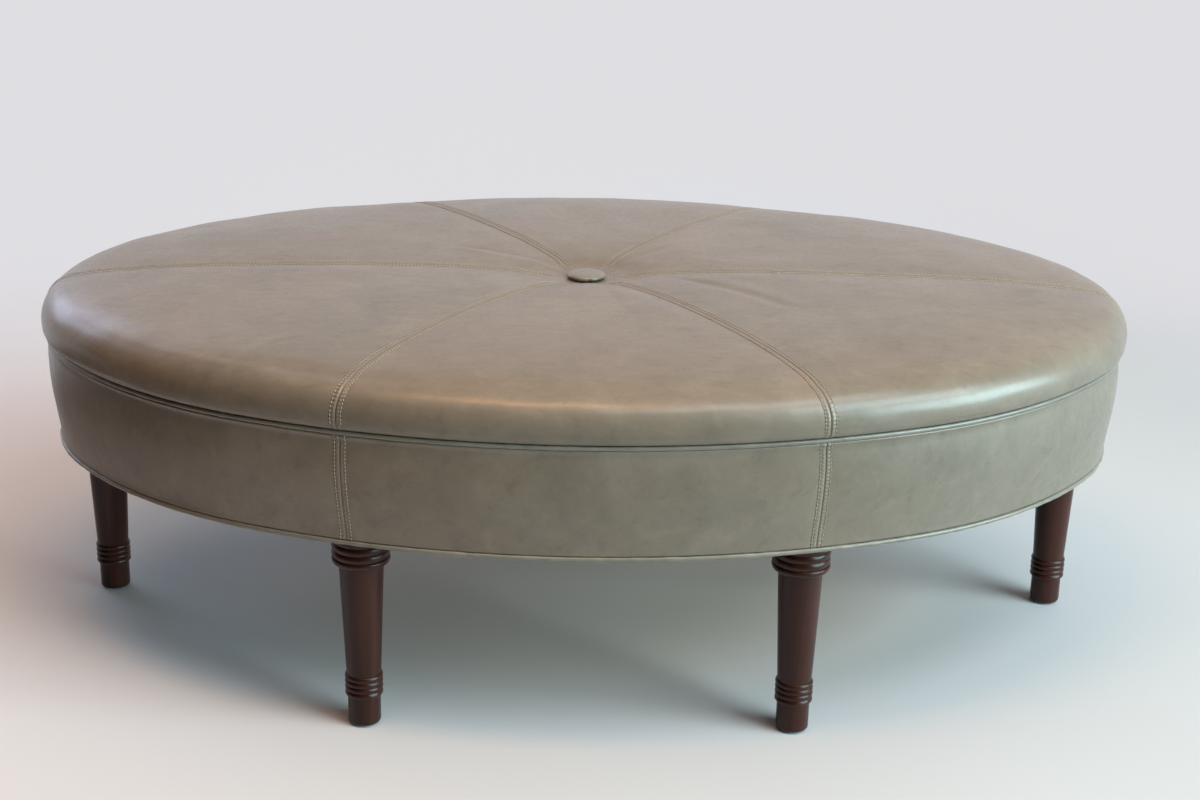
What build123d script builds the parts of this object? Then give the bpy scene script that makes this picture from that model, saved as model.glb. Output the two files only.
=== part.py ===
from build123d import *
import os
from math import acos, cos, degrees, radians, sin

os.makedirs("parts", exist_ok=True)

# Oval ottoman coffee table: a crowned leather pad and a tapered leather apron on six turned legs.
# Millimetres, +Z up, origin on the floor under the middle, +X along the length, front towards -Y.

# Overall size, from the floor up
top_length = 1372.0      # along X, at the upper welt
top_depth = 914.0        # along Y, at the upper welt
leg_height = 254.0       # floor to the underside of the frame
apron_height = 130.0     # underside of the frame to the middle of the upper welt
apron_taper = 8.0        # how far the apron's lower edge is drawn in all round
pad_height = 56.0        # middle of the upper welt to the top of the pad's shoulder
crown_rise = 20.0        # shoulder to the highest ring of the crown

# The oval's tangent arcs: where they meet, in degrees from +X, and where the middle one is fitted
end_arc_angle = 36.9
side_arc_angle = 66.8
fit_angle = 52.2

# Fits
clearance = 0.3          # between soft layers, and wherever one piece is slipped into another
joint_gap = 0.5          # between panels laid edge to edge
cut_overrun = 10.0       # how far a cutting shape passes the face it cuts

# Sheet materials
board_thickness = 18.0   # deck, bottom board, rails and ribs
skin_thickness = 6.0     # bent plywood round the apron
leather_thickness = 1.4
wadding_thickness = 6.0
band_foam_thickness = 4.7
dust_cloth_thickness = 0.8

# Frame
deck_rise = 6.0          # top of the deck above the upper welt
post_width = 60.0
rail_offset = 120.0      # long rails, off the centre line
rib_places = (-430.0, -170.0, 170.0, 430.0)
hand_hole_diameter = 120.0

# Legs and what fixes them
leg_inset = 55.0         # leg axis inside the upper welt's oval
leg_half_spacing = 253.0 # along X, front and back legs
collar_radius = 34.0
collar_height = 47.0
collar_reeds = 5
collar_round = 6.5       # underside of the lowest reed
shaft_top_radius = 26.0
shaft_bottom_radius = 20.3
ankle_radius = 22.3
ankle_height = 28.0
ankle_reeds = 4
ankle_round = 3.0
foot_radius = 19.2
foot_height = 38.0       # floor to the lowest reed
foot_edge_radius = 4.0
groove_depth = 1.6
glide_height = 2.0
glide_radius = 11.0
glide_pin_radius = 1.5
glide_pin_length = 16.0
bolt_radius = 4.0
bolt_in_leg = 45.0
bolt_in_post = 22.0
insert_radius = 6.5
insert_length = 25.0

# Wood screws through the deck and the board into the posts
screw_radius = 2.25
screw_head_radius = 4.5
screw_length = 50.0
screw_tip = 5.0
countersink_angle = 90.0
screw_offset = 19.0      # off the leg's axis
drive_width = 2.6
drive_depth = 2.0

# Pad
shoulder_radius = 36.0
shoulder_sweep = 80.0    # degrees of the shoulder's arc
shoulder_steps = 4
tuck_angle = 45.0        # where the ring between tuck and shoulder lies on its quarter ellipse
pad_bulge = 5.5          # how far the pad's side stands out past the welt
tuck_gap = 1.2           # crease between the welt and the pad
skirt_drop = 6.0         # pad leather below the middle of the welt
dimple_depth = 16.5      # crown to the leather under the button
crown_shares = ((0.90, 0.32), (0.80, 0.62), (0.65, 0.87), (0.50, 0.98), (0.37, 1.0), (0.24, 0.94))
dimple_shares = ((0.13, 0.0, 0.36), (0.04, 1.1, 0.63), (0.0, 1.06, 0.89), (0.0, 0.4, 1.0))

# Seams: six panels meet under the button
seam_half_spacing = 268.0  # along X, where the slanting seams reach the welt
front_seam_bow = 12.0      # how far the two front seams bow towards the ends
seam_gap = 0.6
seam_overreach_share = 1.5

# Button and its tie
button_radius = 25.5
button_rise = 9.0
button_back_radius = 20.0
button_back_thickness = 1.6
eye_radius = 4.5
eye_wire_radius = 0.9
twine_radius = 1.2
tie_hole_radius = 7.0
toggle_radius = 7.0
toggle_length = 56.0
knot_radius = 4.2
knot_height = 5.0

# Welts and the trim they are set in
upper_bead_radius = 2.8
lower_bead_radius = 3.0
welt_leather = 1.0
lower_bead_proud = 0.6   # lower welt past the apron's edge
tail_width = 12.0
tail_thickness = 1.2
hem_width = 11.0         # apron leather turned under the board
tack_strip_width = 12.0
tack_strip_thickness = 1.0

# Heights that follow
welt_height = leg_height + apron_height
deck_top = welt_height + deck_rise
deck_bottom = deck_top - board_thickness
board_top = leg_height + board_thickness
skin_inset = leather_thickness + clearance + band_foam_thickness + clearance
frame_inset = skin_inset + skin_thickness + clearance
skirt_inset = skin_inset - clearance - leather_thickness
shoulder_centre = welt_height + pad_height - shoulder_radius
shoulder_top = welt_height + pad_height
crown_top = shoulder_top + crown_rise
tuck_height = welt_height + upper_bead_radius + tuck_gap
button_seat = crown_top - dimple_depth * dimple_shares[-2][2] + clearance
hem_height = leg_height - leather_thickness


# The outline is eight tangent arcs that keep within a millimetre of an ellipse.
def tangent_arcs():
    half_length = top_length / 2
    half_depth = top_depth / 2
    end, side, fit = radians(end_arc_angle), radians(side_arc_angle), radians(fit_angle)
    spread = (half_length * cos(fit)) ** 2 + (half_depth * sin(fit)) ** 2
    middle_radius = (half_length * half_depth) ** 2 / spread ** 1.5
    along = middle_radius * (cos(end) - cos(side)) - half_length
    across = half_depth + middle_radius * (sin(end) - sin(side))
    divisor = (cos(end) - 1) * (1 - sin(side)) + cos(side) * sin(end)
    end_radius = (along * (1 - sin(side)) + cos(side) * across) / divisor
    side_radius = ((cos(end) - 1) * across - sin(end) * along) / divisor
    end_centre = half_length - end_radius
    middle_x = end_centre - (middle_radius - end_radius) * cos(end)
    middle_y = -(middle_radius - end_radius) * sin(end)
    side_centre = half_depth - side_radius
    middle_sweep = side_arc_angle - end_arc_angle
    side_sweep = 180 - 2 * side_arc_angle
    return (
        (end_centre, 0, end_radius, -end_arc_angle, 2 * end_arc_angle),
        (middle_x, middle_y, middle_radius, end_arc_angle, middle_sweep),
        (0, side_centre, side_radius, side_arc_angle, side_sweep),
        (-middle_x, middle_y, middle_radius, 180 - side_arc_angle, middle_sweep),
        (-end_centre, 0, end_radius, 180 - end_arc_angle, 2 * end_arc_angle),
        (-middle_x, -middle_y, middle_radius, 180 + end_arc_angle, middle_sweep),
        (0, -side_centre, side_radius, 180 + side_arc_angle, side_sweep),
        (middle_x, -middle_y, middle_radius, -side_arc_angle, middle_sweep),
    )


outline_arcs = tangent_arcs()
side_arc_y = outline_arcs[2][1]
side_arc_radius = outline_arcs[2][2]


def oval_line(inset, share=1):
    """The outline scaled by share about the middle, then drawn in by inset."""
    for x, y, radius, start, sweep_angle in outline_arcs:
        CenterArc((x * share, y * share), radius * share - inset, start, sweep_angle)


def oval_sketch(inset, share=1, mode=Mode.ADD):
    with BuildLine(mode=Mode.PRIVATE) as outline:
        oval_line(inset, share)
    make_face(outline.edges(), mode=mode)


def oval_body(rings):
    """A solid ruled through rings of (share, inset, height)."""
    with BuildPart() as body:
        for share, inset, height in rings:
            with BuildSketch(Plane.XY.offset(height)):
                oval_sketch(inset, share)
        loft(ruled=True)
    return body.part


def side_inset(height):
    """How far the tapered apron is drawn in at a height."""
    return apron_taper * (welt_height - height) / apron_height


def apron_body(inset, bottom, top):
    """What lies within the apron's face drawn in by inset, between two heights."""
    return oval_body([(1, inset + side_inset(height), height) for height in (bottom, top)])


def apron_wall(outer_inset, inner_inset, bottom, top):
    core = apron_body(inner_inset, bottom, top)
    with BuildPart() as wall:
        add(apron_body(outer_inset, bottom, top))
        add(core, mode=Mode.SUBTRACT)
    return wall.part


def long_side_point(x, inset):
    """Where the outline, drawn in by inset, passes x on its long side, and its direction there."""
    radius = side_arc_radius - inset
    angle = acos(x / radius)
    return x, side_arc_y + radius * sin(angle), angle


# Places round the oval, from the right-hand end anticlockwise
place_names = ("right_end", "back_right", "back_left", "left_end", "front_left", "front_right")
panel_names = ("back_right", "back", "back_left", "front_left", "front", "front_right")


def round_the_oval(half_length, point):
    """The two ends and the four mirrored places of a point on the long side."""
    x, y = point[0], point[1]
    return ((half_length, 0), (x, y), (-x, y), (-half_length, 0), (-x, -y), (x, -y))


leg_side_point = long_side_point(leg_half_spacing, leg_inset)
leg_places = round_the_oval(top_length / 2 - leg_inset, leg_side_point)
leg_turn = degrees(leg_side_point[2])
leg_turns = (0, leg_turn, -leg_turn, 0, leg_turn, -leg_turn)
seam_places = round_the_oval(top_length / 2, long_side_point(seam_half_spacing, 0))
seam_bows = (0, 0, 0, 0, -front_seam_bow, front_seam_bow)


def save(part, name):
    part.label = name
    export_step(part, "parts/" + name + ".step")


# Frame: deck and bottom board
def screw_spots(place, turn):
    """Two screws beside a leg's axis, along the apron."""
    along = radians(turn + 90)
    for way in (-1, 1):
        yield place[0] + way * screw_offset * cos(along), place[1] + way * screw_offset * sin(along)


screw_places = [spot for place, turn in zip(leg_places, leg_turns) for spot in screw_spots(place, turn)]
screw_hole_radius = screw_radius + clearance
screw_mouth_radius = screw_head_radius + clearance

with BuildPart() as deck_panel:
    add(apron_body(frame_inset, deck_bottom, deck_top))
    with BuildSketch(Plane.XY.offset(deck_bottom)):
        Circle(tie_hole_radius)
    extrude(amount=board_thickness, mode=Mode.SUBTRACT)
    with Locations([(x, y, deck_top) for x, y in screw_places]):
        CounterSinkHole(screw_hole_radius, screw_mouth_radius, board_thickness, countersink_angle)
save(deck_panel.part, "deck_panel")

with BuildPart() as bottom_board:
    add(apron_body(frame_inset, leg_height, board_top))
    with BuildSketch(Plane.XY.offset(leg_height)):
        Circle(hand_hole_diameter / 2)
        with Locations(leg_places):
            Circle(bolt_radius + clearance)
    extrude(amount=board_thickness, mode=Mode.SUBTRACT)
    under = Plane(origin=(0, 0, leg_height), x_dir=(1, 0, 0), z_dir=(0, 0, -1))
    with Locations([under.location * Location((x, -y, 0)) for x, y in screw_places]):
        CounterSinkHole(screw_hole_radius, screw_mouth_radius, board_thickness, countersink_angle)
save(bottom_board.part, "bottom_board")

# Frame: long rails and cross ribs, halved into each other
frame_cavity = apron_body(frame_inset, board_top, deck_bottom)
rail_height = deck_bottom - board_top
half_lap_height = (deck_bottom + board_top) / 2
slot_width = board_thickness + 2 * clearance

for name, y in (("long_rail_front", -rail_offset), ("long_rail_back", rail_offset)):
    with BuildPart() as long_rail:
        with BuildSketch(Plane.XY.offset(board_top)):
            with Locations((0, y)):
                Rectangle(top_length, board_thickness)
        extrude(amount=rail_height)
        add(frame_cavity, mode=Mode.INTERSECT)
        with BuildSketch(Plane.XY.offset(half_lap_height)):
            with Locations([(x, y) for x in rib_places]):
                Rectangle(slot_width, slot_width)
        extrude(amount=rail_height, mode=Mode.SUBTRACT)
    save(long_rail.part, name)

for number, x in enumerate(rib_places, start=1):
    with BuildPart() as cross_rib:
        with BuildSketch(Plane.XY.offset(board_top)):
            with Locations((x, 0)):
                Rectangle(board_thickness, top_depth)
        extrude(amount=rail_height)
        add(frame_cavity, mode=Mode.INTERSECT)
        with BuildSketch(Plane.XY.offset(half_lap_height)):
            with Locations((x, -rail_offset), (x, rail_offset)):
                Rectangle(slot_width, slot_width)
        extrude(amount=-rail_height, mode=Mode.SUBTRACT)
    save(cross_rib.part, "cross_rib_" + str(number))

# Frame: a post over each leg, bored for its insert and for the screws
for name, place, turn in zip(place_names, leg_places, leg_turns):
    with BuildPart() as leg_post:
        with BuildSketch(Plane.XY.offset(board_top)):
            with Locations(Location((place[0], place[1], 0), (0, 0, turn))):
                Rectangle(post_width, post_width)
        extrude(amount=rail_height)
        with BuildSketch(Plane.XY.offset(board_top)):
            with Locations(place):
                Circle(insert_radius + clearance)
        extrude(amount=insert_length + clearance, mode=Mode.SUBTRACT)
        pilot_depth = screw_length - board_thickness + clearance
        for level, way in ((board_top, 1), (deck_bottom, -1)):
            with BuildSketch(Plane.XY.offset(level)):
                with Locations(list(screw_spots(place, turn))):
                    Circle(screw_hole_radius)
            extrude(amount=way * pilot_depth, mode=Mode.SUBTRACT)
    save(leg_post.part, "leg_post_" + name)

# Frame: bent plywood skin in four quarters
skin_wall = apron_wall(skin_inset, skin_inset + skin_thickness, leg_height, deck_top)
quarter_signs = (("back_right", 1, 1), ("back_left", -1, 1), ("front_left", -1, -1), ("front_right", 1, -1))
for name, x_sign, y_sign in quarter_signs:
    with BuildPart() as apron_skin:
        add(skin_wall)
        with BuildSketch(Plane.XY.offset(leg_height)):
            centre = ((top_length + joint_gap) / 2, (top_depth + joint_gap) / 2)
            with Locations((x_sign * centre[0], y_sign * centre[1])):
                Rectangle(top_length, top_depth)
        extrude(amount=deck_top - leg_height, mode=Mode.INTERSECT)
    save(apron_skin.part, "apron_skin_" + name)


# Screws: countersunk, with a square drive
def wood_screw():
    with BuildPart() as screw:
        with BuildSketch(Plane.XZ):
            with BuildLine():
                Polyline(
                    (0, 0),
                    (screw_head_radius, 0),
                    (screw_radius, screw_radius - screw_head_radius),
                    (screw_radius, screw_tip - screw_length),
                    (0, -screw_length),
                    close=True,
                )
            make_face()
        revolve(axis=Axis.Z)
        with BuildSketch(Plane.XY):
            Rectangle(drive_width, drive_width)
        extrude(amount=-drive_depth, mode=Mode.SUBTRACT)
    return screw.part


screw_down = wood_screw()
with BuildPart() as deck_screws:
    with Locations([(x, y, deck_top) for x, y in screw_places]):
        add(screw_down)
save(deck_screws.part, "deck_screws")

with BuildPart() as board_screws:
    with Locations([Location((x, y, leg_height), (180, 0, 0)) for x, y in screw_places]):
        add(screw_down)
save(board_screws.part, "board_screws")


# Legs: turned, with a reeded collar at the top and a reeded ankle above the foot
def reeds(radius, bottom, height, count, round_under):
    """Beads up a turned surface: the lowest is rounded under, the others run from groove to groove."""
    pitch = height / count
    valley = radius - groove_depth
    CenterArc((radius - round_under, bottom + round_under), round_under, -90, 90)
    TangentArc((radius, bottom + round_under), (valley, bottom + pitch), tangent=(0, 1))
    for number in range(1, count):
        low = bottom + number * pitch
        ThreePointArc((valley, low), (radius, low + pitch / 2), (valley, low + pitch))


def turned_leg():
    collar_bottom = leg_height - collar_height
    ankle_top = foot_height + ankle_height
    with BuildPart() as leg:
        with BuildSketch(Plane.XZ):
            with BuildLine():
                Line((0, glide_height), (foot_radius - foot_edge_radius, glide_height))
                edge_centre = (foot_radius - foot_edge_radius, glide_height + foot_edge_radius)
                CenterArc(edge_centre, foot_edge_radius, -90, 90)
                Line((foot_radius, glide_height + foot_edge_radius), (foot_radius, foot_height))
                Line((foot_radius, foot_height), (ankle_radius - ankle_round, foot_height))
                reeds(ankle_radius, foot_height, ankle_height, ankle_reeds, ankle_round)
                Line((ankle_radius - groove_depth, ankle_top), (shaft_bottom_radius, ankle_top))
                Line((shaft_bottom_radius, ankle_top), (shaft_top_radius, collar_bottom))
                Line((shaft_top_radius, collar_bottom), (collar_radius - collar_round, collar_bottom))
                reeds(collar_radius, collar_bottom, collar_height, collar_reeds, collar_round)
                Line((collar_radius - groove_depth, leg_height), (0, leg_height))
                Line((0, leg_height), (0, glide_height))
            make_face()
        revolve(axis=Axis.Z)
        with Locations((0, 0, leg_height)):
            Hole(bolt_radius + clearance, depth=bolt_in_leg + clearance)
        with BuildSketch(Plane.XY.offset(glide_height)):
            Circle(glide_pin_radius + clearance)
        extrude(amount=glide_pin_length + clearance, mode=Mode.SUBTRACT)
    return leg.part


leg_form = turned_leg()
for name, place in zip(place_names, leg_places):
    with BuildPart() as leg:
        with Locations(place):
            add(leg_form)
    save(leg.part, "leg_" + name)

with BuildPart() as foot_glides:
    with BuildSketch():
        with Locations(leg_places):
            Circle(glide_radius)
    extrude(amount=glide_height)
    with BuildSketch(Plane.XY.offset(glide_height)):
        with Locations(leg_places):
            Circle(glide_pin_radius)
    extrude(amount=glide_pin_length)
save(foot_glides.part, "foot_glides")

with BuildPart() as hanger_bolts:
    with BuildSketch(Plane.XY.offset(leg_height - bolt_in_leg)):
        with Locations(leg_places):
            Circle(bolt_radius)
    extrude(amount=bolt_in_leg + board_thickness + bolt_in_post)
save(hanger_bolts.part, "hanger_bolts")

with BuildPart() as threaded_inserts:
    with BuildSketch(Plane.XY.offset(board_top)):
        with Locations(leg_places):
            Circle(insert_radius)
            Circle(bolt_radius + clearance, mode=Mode.SUBTRACT)
    extrude(amount=insert_length)
save(threaded_inserts.part, "threaded_inserts")


# Pad: rings of its surface at a depth below the leather's face, from the tucked edge to the dimple
def pad_rings(depth, edge_heights):
    edge = skirt_inset + depth
    rings = [(1, edge + side_inset(height), height) for height in edge_heights]
    tuck = radians(tuck_angle)
    side_out = (skirt_inset + pad_bulge) * sin(tuck)
    side_up = (shoulder_centre - tuck_height) * (1 - cos(tuck))
    rings.append((1, edge - side_out, tuck_height + side_up))
    arc_radius = shoulder_radius - depth
    for step in range(shoulder_steps + 1):
        angle = radians(shoulder_sweep) * step / shoulder_steps
        inset = shoulder_radius - pad_bulge - arc_radius * cos(angle)
        rings.append((1, inset, shoulder_centre + arc_radius * sin(angle)))
    for share, rise_share in crown_shares:
        rings.append((share, 0, shoulder_top + crown_rise * rise_share - depth))
    for share, round_share, sink_share in dimple_shares:
        rings.append((share, -button_radius * round_share, crown_top - dimple_depth * sink_share - depth))
    return rings


wadding_depth = leather_thickness + clearance
foam_depth = wadding_depth + wadding_thickness + clearance
skirt_heights = (welt_height - skirt_drop, tuck_height)

with BuildPart() as foam_core:
    add(oval_body(pad_rings(foam_depth, (deck_top,))))
    with BuildSketch(Plane.XY.offset(deck_top)):
        Circle(tie_hole_radius)
    extrude(amount=pad_height + crown_rise, mode=Mode.SUBTRACT)
save(foam_core.part, "foam_core")

wadding_inside = oval_body(pad_rings(foam_depth - clearance, (deck_top,)))
with BuildPart() as wadding_layer:
    add(oval_body(pad_rings(wadding_depth, (deck_top,))))
    add(wadding_inside, mode=Mode.SUBTRACT)
    with BuildSketch(Plane.XY.offset(deck_top)):
        Circle(tie_hole_radius)
    extrude(amount=pad_height + crown_rise, mode=Mode.SUBTRACT)
save(wadding_layer.part, "wadding_layer")


# Seams: each panel's sector as a prism, bounded by the seam lines on its two sides
def seam_line(place, bow):
    x, y = place
    reach = (x ** 2 + y ** 2) ** 0.5
    if bow:
        ThreePointArc((0, 0), (x / 2 - y / reach * bow, y / 2 + x / reach * bow), (x, y))
    else:
        Line((0, 0), (x, y))
    Line((x, y), (x * seam_overreach_share, y * seam_overreach_share))


def sector_prism(number):
    ends = (number, (number + 1) % len(seam_places))
    with BuildPart() as sector:
        with BuildSketch():
            with BuildLine():
                for end in ends:
                    seam_line(seam_places[end], seam_bows[end])
                corners = [
                    (seam_places[end][0] * seam_overreach_share, seam_places[end][1] * seam_overreach_share)
                    for end in ends
                ]
                Line(*corners)
            make_face()
            offset(amount=-seam_gap / 2, mode=Mode.REPLACE)
        extrude(amount=crown_top + cut_overrun)
    return sector.part


sector_prisms = [sector_prism(number) for number in range(len(panel_names))]
pad_inside = oval_body(pad_rings(leather_thickness, skirt_heights))
with BuildPart() as pad_leather:
    add(oval_body(pad_rings(0, skirt_heights)))
    add(pad_inside, mode=Mode.SUBTRACT)
    with BuildSketch(Plane.XY.offset(deck_top)):
        Circle(tie_hole_radius)
    extrude(amount=pad_height + crown_rise, mode=Mode.SUBTRACT)

for name, prism in zip(panel_names, sector_prisms):
    with BuildPart() as top_leather:
        add(pad_leather.part)
        add(prism, mode=Mode.INTERSECT)
    save(top_leather.part, "top_leather_" + name)

# Apron leather: six panels with their lower edges turned under the board
band_top = welt_height - upper_bead_radius - clearance
band_wall = apron_wall(0, leather_thickness, hem_height, band_top)
with BuildPart() as band_leather_ring:
    add(band_wall)
    with BuildSketch(Plane.XY.offset(hem_height)):
        oval_sketch(side_inset(hem_height) + leather_thickness / 2)
        oval_sketch(apron_taper + hem_width, mode=Mode.SUBTRACT)
    extrude(amount=leather_thickness - clearance / 2)

for name, prism in zip(panel_names, sector_prisms):
    with BuildPart() as band_leather:
        add(band_leather_ring.part)
        add(prism, mode=Mode.INTERSECT)
    save(band_leather.part, "band_leather_" + name)

# Foam behind the apron leather, and the card strip that stiffens its upper edge
band_foam_inset = leather_thickness + clearance
strip_bottom = band_top - tack_strip_width
band_foam = apron_wall(
    band_foam_inset, band_foam_inset + band_foam_thickness, leg_height + clearance, strip_bottom - clearance
)
save(band_foam, "band_padding")
tack_strip = apron_wall(
    band_foam_inset, band_foam_inset + tack_strip_thickness, strip_bottom, band_top
)
save(tack_strip, "tack_strip")


# Welts: a cord in a leather sleeve, with a flat tail that is stapled to the frame
def bead(radius, inset, height):
    with BuildPart() as ring:
        with BuildLine(Plane.XY.offset(height)) as path:
            oval_line(inset)
        with BuildSketch(Plane(path.wire() ^ 0)):
            Circle(radius)
        sweep(path=path.wire())
    return ring.part


upper_bead_inset = skirt_inset - clearance - upper_bead_radius
upper_cord_radius = upper_bead_radius - welt_leather
upper_tail_face = skirt_inset - clearance - tail_thickness
upper_tail = apron_wall(
    upper_tail_face, upper_tail_face + tail_thickness, welt_height - tail_width, welt_height
)
upper_core = bead(upper_cord_radius + clearance / 2, upper_bead_inset, welt_height)
with BuildPart() as upper_welt_cover:
    add(bead(upper_bead_radius, upper_bead_inset, welt_height))
    add(upper_tail)
    add(upper_core, mode=Mode.SUBTRACT)
save(upper_welt_cover.part, "upper_welt_cover")
save(bead(upper_cord_radius, upper_bead_inset, welt_height), "upper_welt_cord")

lower_bead_inset = apron_taper - lower_bead_proud + lower_bead_radius
lower_bead_height = hem_height - clearance - lower_bead_radius
lower_cord_radius = lower_bead_radius - welt_leather
lower_tail_top = hem_height - clearance
lower_core = bead(lower_cord_radius + clearance / 2, lower_bead_inset, lower_bead_height)
with BuildPart() as lower_welt_cover:
    add(bead(lower_bead_radius, lower_bead_inset, lower_bead_height))
    with BuildSketch(Plane.XY.offset(lower_tail_top)):
        oval_sketch(lower_bead_inset)
        oval_sketch(apron_taper + hem_width, mode=Mode.SUBTRACT)
    extrude(amount=-welt_leather)
    add(lower_core, mode=Mode.SUBTRACT)
save(lower_welt_cover.part, "lower_welt_cover")
save(bead(lower_cord_radius, lower_bead_inset, lower_bead_height), "lower_welt_cord")

# Dust cloth stapled over the tails, cut round the legs
dust_cloth_edge = lower_bead_inset + lower_bead_radius + joint_gap
with BuildPart() as dust_cover:
    with BuildSketch(Plane.XY.offset(lower_tail_top - welt_leather - clearance)):
        oval_sketch(dust_cloth_edge)
        with Locations(leg_places):
            Circle(collar_radius + clearance, mode=Mode.SUBTRACT)
    extrude(amount=-dust_cloth_thickness)
save(dust_cover.part, "dust_cover")

# Button: a leather-covered dome on a metal back with a wire eye
dome_radius = (button_radius ** 2 + button_rise ** 2) / (2 * button_rise)
with BuildPart() as button_cover:
    with BuildSketch(Plane.XZ):
        with BuildLine():
            dome_angle = acos((dome_radius - button_rise) / dome_radius)
            middle_angle = dome_angle / 2
            dome_middle = (
                dome_radius * sin(middle_angle),
                button_seat + button_rise - dome_radius * (1 - cos(middle_angle)),
            )
            ThreePointArc((0, button_seat + button_rise), dome_middle, (button_radius, button_seat))
            Line((button_radius, button_seat), (0, button_seat))
            Line((0, button_seat), (0, button_seat + button_rise))
        make_face()
    revolve(axis=Axis.Z)
    with BuildSketch(Plane.XY.offset(button_seat)):
        Circle(button_back_radius + clearance)
    extrude(amount=button_back_thickness + clearance, mode=Mode.SUBTRACT)
save(button_cover.part, "button_cover")

eye_centre = button_seat - eye_radius / 2
with BuildPart() as button_back:
    with BuildSketch(Plane.XY.offset(button_seat)):
        Circle(button_back_radius)
    extrude(amount=button_back_thickness)
    with BuildLine(Plane.XZ) as eye_path:
        CenterArc((0, eye_centre), eye_radius, -210, 240)
    with BuildSketch(Plane(eye_path.wire() ^ 0)):
        Circle(eye_wire_radius)
    sweep(path=eye_path.wire())
save(button_back.part, "button_back")

# Tie: twine looped over the eye, drawn through the deck and a toggle, and knotted
eye_low = eye_centre - eye_radius
turn_radius = eye_wire_radius + twine_radius + clearance
toggle_height = deck_bottom - clearance - toggle_radius
knot_top = toggle_height - toggle_radius - clearance
with BuildPart() as tufting_twine:
    with BuildLine(Plane.YZ) as twine_path:
        Line((-turn_radius, knot_top), (-turn_radius, eye_low))
        CenterArc((0, eye_low), turn_radius, 90, 90)
        CenterArc((0, eye_low), turn_radius, 0, 90)
        Line((turn_radius, eye_low), (turn_radius, knot_top))
    with BuildSketch(Plane.XY.offset(knot_top)):
        with Locations((0, -turn_radius)):
            Circle(twine_radius)
    sweep(path=twine_path.wire())
    with BuildSketch(Plane.XY.offset(knot_top)):
        Circle(knot_radius)
    extrude(amount=-knot_height)
save(tufting_twine.part, "tufting_twine")

with BuildPart() as twine_toggle:
    with BuildSketch(Plane.YZ.offset(-toggle_length / 2)):
        with Locations((0, toggle_height)):
            Circle(toggle_radius)
    extrude(amount=toggle_length)
    with BuildSketch(Plane.XY.offset(toggle_height)):
        with Locations((0, -turn_radius), (0, turn_radius)):
            Circle(twine_radius + clearance)
    extrude(amount=toggle_radius + clearance, both=True, mode=Mode.SUBTRACT)
save(twine_toggle.part, "twine_toggle")
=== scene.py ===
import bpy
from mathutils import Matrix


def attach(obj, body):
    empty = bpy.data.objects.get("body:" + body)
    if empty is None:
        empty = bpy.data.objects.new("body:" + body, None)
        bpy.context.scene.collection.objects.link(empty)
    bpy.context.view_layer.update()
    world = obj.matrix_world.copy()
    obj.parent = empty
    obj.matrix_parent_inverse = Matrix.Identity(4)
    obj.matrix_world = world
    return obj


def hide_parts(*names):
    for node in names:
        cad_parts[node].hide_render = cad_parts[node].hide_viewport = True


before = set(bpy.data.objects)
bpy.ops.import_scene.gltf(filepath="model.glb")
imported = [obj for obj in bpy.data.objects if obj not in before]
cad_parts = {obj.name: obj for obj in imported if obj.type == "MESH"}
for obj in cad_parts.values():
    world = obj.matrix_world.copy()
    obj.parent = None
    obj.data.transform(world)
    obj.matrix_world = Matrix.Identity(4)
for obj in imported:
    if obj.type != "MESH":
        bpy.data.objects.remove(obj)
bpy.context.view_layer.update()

import math

import bmesh
import bpy
import numpy as np
from mathutils import Matrix, Vector
from mathutils.geometry import delaunay_2d_cdt
from mathutils.kdtree import KDTree

SCENE = bpy.context.scene
# Sizes are in millimetres here, as in the part's source, and become metres when a mesh is made.
MM = 0.001

# The outline: half length and half depth at the welt, and the arcs that make the oval.
HALF_LENGTH = 686.0
HALF_DEPTH = 457.0
MEET = math.radians(52.2)
END_SPAN = math.radians(36.9)
SIDE_SPAN = math.radians(66.8)

# Heights of the pad, the band and the welts.
WELT_Z = 384.0
BAND_HEIGHT = 130.0
BAND_TAPER = 8.0
BAND_BULGE = 3.8
HEM_INSET = 19.0
DUST_Z = 250.6
DUST_INSET = 13.9
LEG_HOLE = 34.3
PAD_WALL_Z = 396.0   # above this height the cover is the pad's wall and top
BUTTON_SEAT = 445.6
BUTTON_EDGE = 24.0   # distance from the centre at which the cover comes out from under the button
BUTTON_RISE = 7.8
LEG_PLACES = ((631.0, 0.0), (253.0, 366.842), (-253.0, 366.842),
              (-631.0, 0.0), (-253.0, -366.842), (253.0, -366.842))

# Seams: where each one ends on the outline, and how far the front pair bows.
SEAM_X = 268.0
SEAM_BOW = 12.0
STITCH_OFF = 6.3
STITCH_PITCH = 4.5


# ---------------------------------------------------------------- outline

def oval_arcs():
    """Centre and radius of the end, middle and side arc of one quarter."""
    a, b, m, e, s = HALF_LENGTH, HALF_DEPTH, MEET, END_SPAN, SIDE_SPAN
    spread = (a * math.cos(m)) ** 2 + (b * math.sin(m)) ** 2
    r2 = (a * b) ** 2 / spread ** 1.5
    along = r2 * (math.cos(e) - math.cos(s)) - a
    across = b + r2 * (math.sin(e) - math.sin(s))
    det = (math.cos(e) - 1) * (1 - math.sin(s)) + math.cos(s) * math.sin(e)
    r1 = (along * (1 - math.sin(s)) + math.cos(s) * across) / det
    r3 = ((math.cos(e) - 1) * across - math.sin(e) * along) / det
    return ((a - r1, 0.0, r1),
            (a - r1 - (r2 - r1) * math.cos(e), -(r2 - r1) * math.sin(e), r2),
            (0.0, b - r3, r3))


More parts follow.
